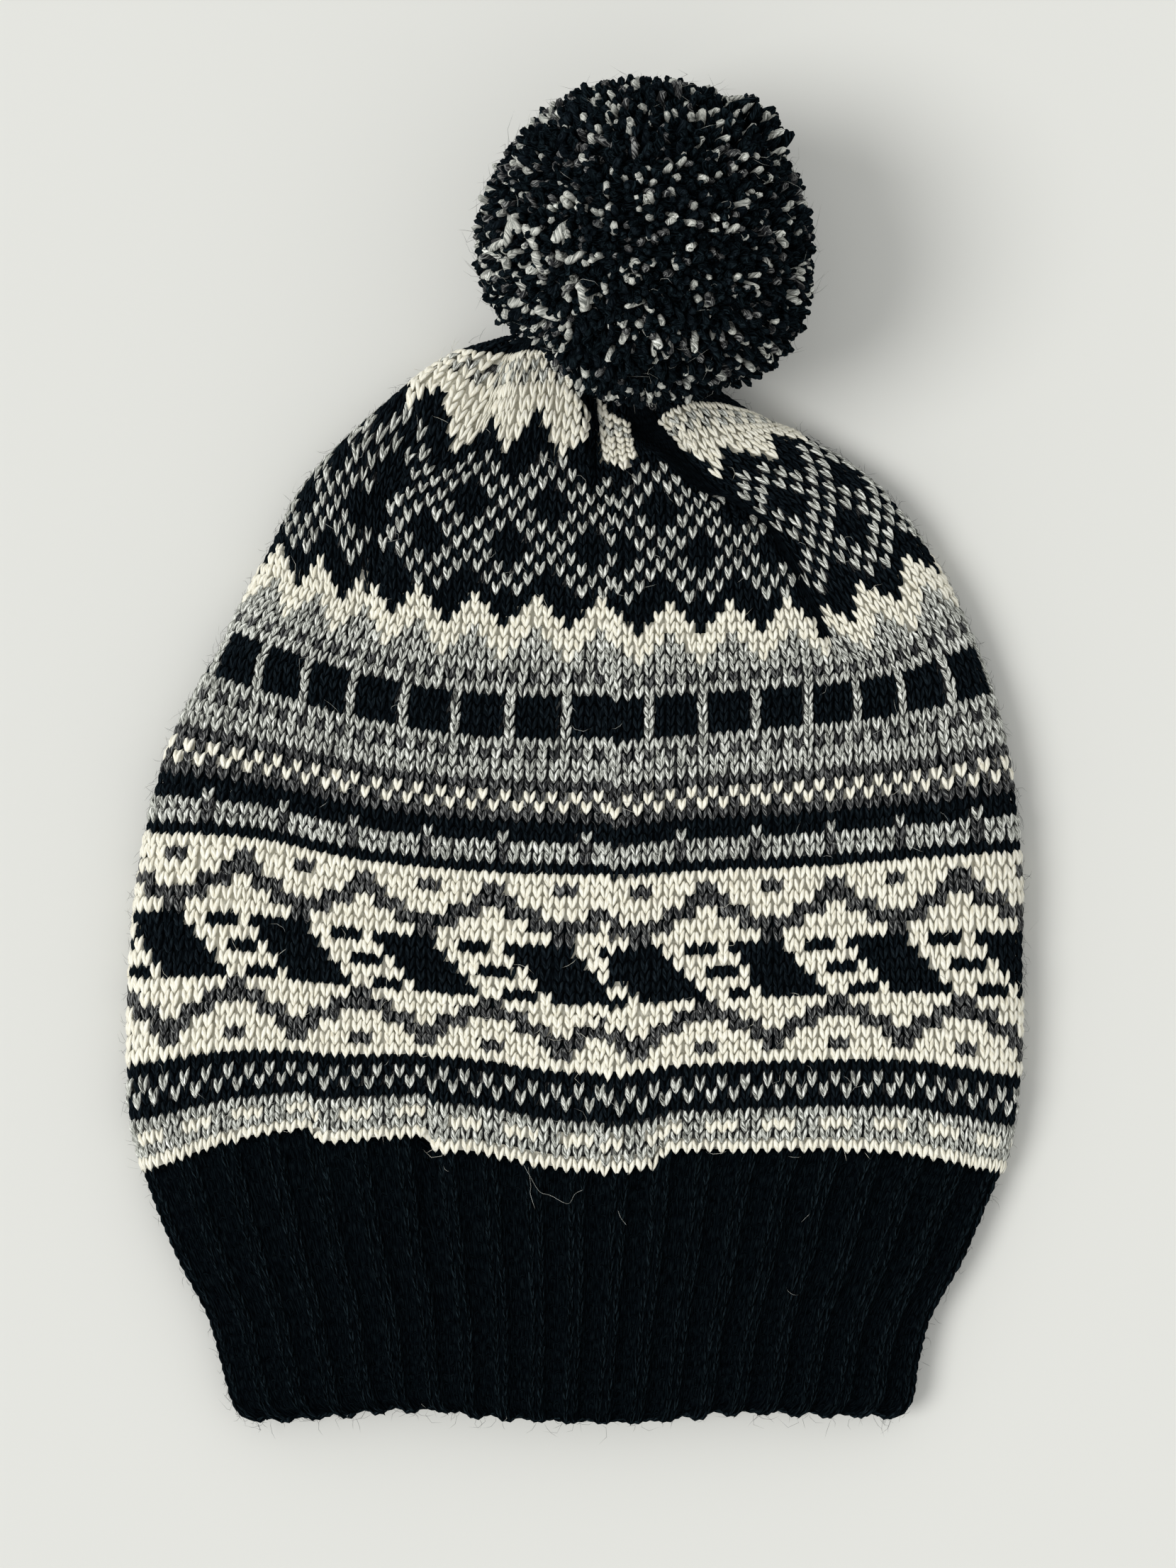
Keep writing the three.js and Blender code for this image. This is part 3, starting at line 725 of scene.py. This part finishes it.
bpy.ops.object.select_all(action="DESELECT")
bpy.ops.mesh.primitive_ico_sphere_add(subdivisions=pompom["coreDetail"], radius=1)
core = bpy.context.object
core.name = core.data.name = "pompomCore"
ball = np.empty(len(core.data.vertices) * 3, np.float32)
core.data.vertices.foreach_get("co", ball)
ball = ball.reshape(-1, 3).astype(float)
core.data.vertices.foreach_set("co", pompomPoint(ball, -pompom["coreSinkMm"]).astype(np.float32).ravel())
bpy.ops.object.shade_smooth()
core.data.materials.append(wool["R"])
strandAttribute(core.data, ball * pompom["coreGrainMm"])
finishPiece(core, "pompom_wool", "pompom")

# A sunflower spiral spreads the ends evenly over the ball
count = yarnEnd["count"]
turn = np.arange(count) + 0.5
height = 1 - 2 * turn / count
angle = math.pi * (1 + 5 ** 0.5) * turn
level = np.sqrt(1 - height ** 2)
ways = np.stack([level * np.cos(angle), level * np.sin(angle), height], 1)
ways = unit(ways + dice.normal(0, yarnEnd["jitter"], ways.shape))
flopped = facing(ways, lying) & (dice.random(count) < lying["share"])
lean = dice.normal(0, 1, (count, 3)) * np.where(flopped, lying["lean"], yarnEnd["lean"])[:, None]
lean -= ways * (lean * ways).sum(1, keepdims=True)
heading = unit(ways + lean)
out = dice.normal(yarnEnd["outMm"], yarnEnd["outUnevenMm"], count)
out += lying["outMm"] * flopped + tuft["outMm"] * facing(ways, tuft)
stations = np.array(yarnEnd["stations"])
length = yarnEnd["lengthMm"] * dice.uniform(*yarnEnd["lengthUneven"], count)
inward = ((stations - 1) * length[:, None] * mm)[..., None]
centre = pompomPoint(ways, out)[:, None] + inward * heading[:, None]
bend = dice.normal(0, yarnEnd["bendMm"], (count, 1, 3))
centre = centre + bend * (stations ** 2)[None, :, None] * mm
centre[..., 2] = np.maximum(centre[..., 2], yarnEnd["floorMm"] * mm)
sideways = unit(np.cross(heading, dice.normal(0, 1, (count, 3))))
deep = np.repeat(sideways[:, None], len(stations), 1)
thick = yarnEnd["halfMm"] * dice.uniform(*yarnEnd["halfUneven"], (count, 1)) * mm
half = thick * np.array(yarnEnd["taper"]) * np.where(flopped, lying["thick"], 1)[:, None]
number = dice.choice([yarnOrder.index(k) for k in endShares], count, p=list(endShares.values()))
# painted shade: some ends on the ball's shaded side are made black
number[facing(ways, shaded) & (dice.random(count) < shaded["share"])] = yarnOrder.index("R")
number[flopped] = yarnOrder.index("E")
ends = yarnPieces("pompomYarnEnds", centre, deep, half, half * yarnEnd["flat"], number, yarnEnd["sides"],
                  yarnEnd["twist"])
finishPiece(ends, "pompom_wool")
print("hat: pompom tied")

# Fine stray alpaca hairs: how many, their sizes, how they curl, stand and bow, and the share of pale ones
hair = dict(crown=1500, band=600, edge=800, pompom=1500, stations=4, sides=3, halfMm=0.036,
            lengthMm=(2, 6.5), edgeLengthMm=(1.5, 4.5), edgeRows=(-22, 66), edgeSpread=0.7,
            pompomLengthMm=(3, 9), pompomRootMm=-1.5, curl=1.3, stand=(1, 2.5), bowMm=0.1, floorMm=0.1,
            pale=0.1, bandPale=0.025)


def hairStrands(name, centre, deep, number, slot):
    half = np.full((len(centre), centre.shape[1] - 2), hair["halfMm"] * mm)
    finishPiece(yarnPieces(name, centre, deep, half, half, number, hair["sides"], 0), slot)


def strayHairs(name, roots, normals, number, slot, reach):
    # hairs that leave their roots in any direction and curl as they go
    count = len(roots)
    steps = np.linspace(0, 1, hair["stations"])
    side = unit(np.cross(normals, dice.normal(0, 1, (count, 3))))
    other = np.cross(normals, side)
    run = dice.uniform(*reach, (count, 1)) * mm * steps
    heading = dice.normal(0, hair["curl"], (count, 1)) * steps
    stand = dice.beta(*hair["stand"], (count, 1))
    flat = side[:, None] * np.cos(heading)[..., None] + other[:, None] * np.sin(heading)[..., None]
    bow = hair["bowMm"] * mm * np.sin(math.pi * steps)
    rise = normals[:, None] * (stand * run + bow)[..., None]
    centre = roots[:, None] + flat * (np.sqrt(1 - stand ** 2) * run)[..., None] + rise
    centre[..., 2] = np.maximum(centre[..., 2], hair["floorMm"] * mm)
    hairStrands(name, centre, np.repeat(normals[:, None], hair["stations"], 1), number, slot)


def strayColour(number, pale):
    # most hairs match their yarn, and a few pale ones lie on the black
    dark = (number == yarnOrder.index("K")) | (number == ribNumber)
    return np.where(dark & (dice.random(len(number)) < pale), yarnOrder.index("G"), number)


col = dice.uniform(0, aroundCols, hair["crown"])
row = dice.uniform(0, len(chartRows) - 1, hair["crown"])
strayHairs("crownHairs", lookUp(crownFabric, "points", col, row), lookUp(crownFabric, "normals", col, row),
           strayColour(crownYarn(col, row), hair["pale"]), "pattern_wool", hair["lengthMm"])
col = dice.uniform(0, ribCols, hair["band"])
row = dice.uniform(-rib["rows"], 0, hair["band"])
row[::2] = -rib["rows"]  # half of them along the hem
strayHairs("bandHairs", lookUp(bandFabric, "points", col, row), lookUp(bandFabric, "normals", col, row),
           strayColour(np.full(hair["band"], ribNumber), hair["bandPale"]), "black_wool", hair["lengthMm"])

# A few long pale hairs lie curled on the band's front: x and y in mm along each
longHairs = [
    ((-12.2, -105.9), (-11.5, -111.1), (-11.6, -113.3), (-10.3, -117.4)),
    ((-13.7, -105.1), (-11.8, -108.5), (-9.2, -112.7), (-6.3, -113.7), (-1.8, -115.9), (0.1, -113.3),
     (2.3, -112.2)),
    ((11.4, -117.9), (12.1, -119.8), (13.6, -121.7)),
]
curled = dict(steps=24, liftMm=0.5, facesUp=0.5)
paths = np.array([throughRows(range(len(path)), path, np.linspace(0, len(path) - 1, curled["steps"]))
                  for path in longHairs]) * mm
cloth = bandFabric["points"][bandFabric["normals"][..., 2] > curled["facesUp"]]
nearest = np.square(paths[:, :, None] - cloth[:, :2]).sum(-1).argmin(-1)
height = cloth[nearest, 2].max(1) + curled["liftMm"] * mm
centre = np.concatenate([paths, np.tile(height[:, None, None], (1, curled["steps"], 1))], 2)
deep = np.tile((0.0, 0.0, 1.0), (len(paths), curled["steps"], 1))
hairStrands("bandLongHairs", centre, deep, np.full(len(paths), yarnOrder.index("G")), "black_wool")

# Fuzz along the side folds, where it shows against the floor
row = dice.uniform(*hair["edgeRows"], hair["edge"])
onLeft = dice.random(hair["edge"]) < 0.5
edges = [("crownEdgeFuzz", crownFabric, row >= 0, crownSections, "pattern_wool"),
         ("bandEdgeFuzz", bandFabric, row < 0, bandSections, "black_wool")]
for name, fabric, chosen, sections, slot in edges:
    rows = row[chosen]
    sides = [throughRows([s["row"] for s in sections], [s[key] for s in sections], rows)
             for key in ("stitchLeft", "stitchRight")]
    col = np.where(onLeft[chosen], -sides[0], sides[1]) + dice.normal(0, hair["edgeSpread"], len(rows))
    strayHairs(name, lookUp(fabric, "points", col, rows), lookUp(fabric, "normals", col, rows),
               np.full(len(rows), ribNumber), slot, hair["edgeLengthMm"])
ways = unit(dice.normal(0, 1, (hair["pompom"], 3)))
number = strayColour(np.full(hair["pompom"], ribNumber), hair["pale"])
strayHairs("pompomHairs", pompomPoint(ways, hair["pompomRootMm"]), ways, number, "pompom_wool",
           hair["pompomLengthMm"])
print("hat: stray hairs added")

# Pale floor
floorLook = dict(size=3.0, colour="#CECEC9", roughness=0.8)
bpy.ops.object.select_all(action="DESELECT")
bpy.ops.mesh.primitive_plane_add(size=floorLook["size"])
floor = bpy.context.object
floor.name = "floor"
material, tree = emptyMaterial("paleFloor")
surface = addNode(tree, "ShaderNodeBsdfPrincipled", Roughness=floorLook["roughness"])
surface.inputs["Base Color"].default_value = linear(floorLook["colour"])
addNode(tree, "ShaderNodeOutputMaterial", {"Surface": surface.outputs[0]})
floor.data.materials.append(material)

# Soft daylight from the left, and a pale room
light = dict(place=(-1.6, -0.2, 2.0), spread=0.5, strength=1.9, roomColour="#F3F4F4", room=0.88)
lamp = bpy.data.lights.new("daylight", "SUN")
lamp.angle = light["spread"]
lamp.energy = light["strength"]
window = bpy.data.objects.new("daylight", lamp)
window.location = light["place"]
across, along, up = light["place"]
turned = math.atan2(-along, -across) - math.pi / 2
window.rotation_euler = (math.atan2(math.hypot(across, along), up), 0, turned)
bpy.context.collection.objects.link(window)
world = bpy.data.worlds.new("room")
world.use_nodes = True
world.node_tree.nodes["Background"].inputs[0].default_value = linear(light["roomColour"])
world.node_tree.nodes["Background"].inputs[1].default_value = light["room"]
bpy.context.scene.world = world
bpy.context.scene.view_settings.view_transform = "Standard"

# Camera straight above, framed as the photo
lens = bpy.data.cameras.new("camera")
lens.sensor_fit = "VERTICAL"
lens.sensor_height = 36
lens.lens = lens.sensor_height * photo["lensHeightMm"] / (photo["high"] * photo["pixelMm"])
camera = bpy.data.objects.new("camera", lens)
camera.location = (photo["overXMm"] * mm, photo["overYMm"] * mm, photo["lensHeightMm"] * mm)
bpy.context.collection.objects.link(camera)
bpy.context.scene.camera = camera
print("hat: light and camera set")
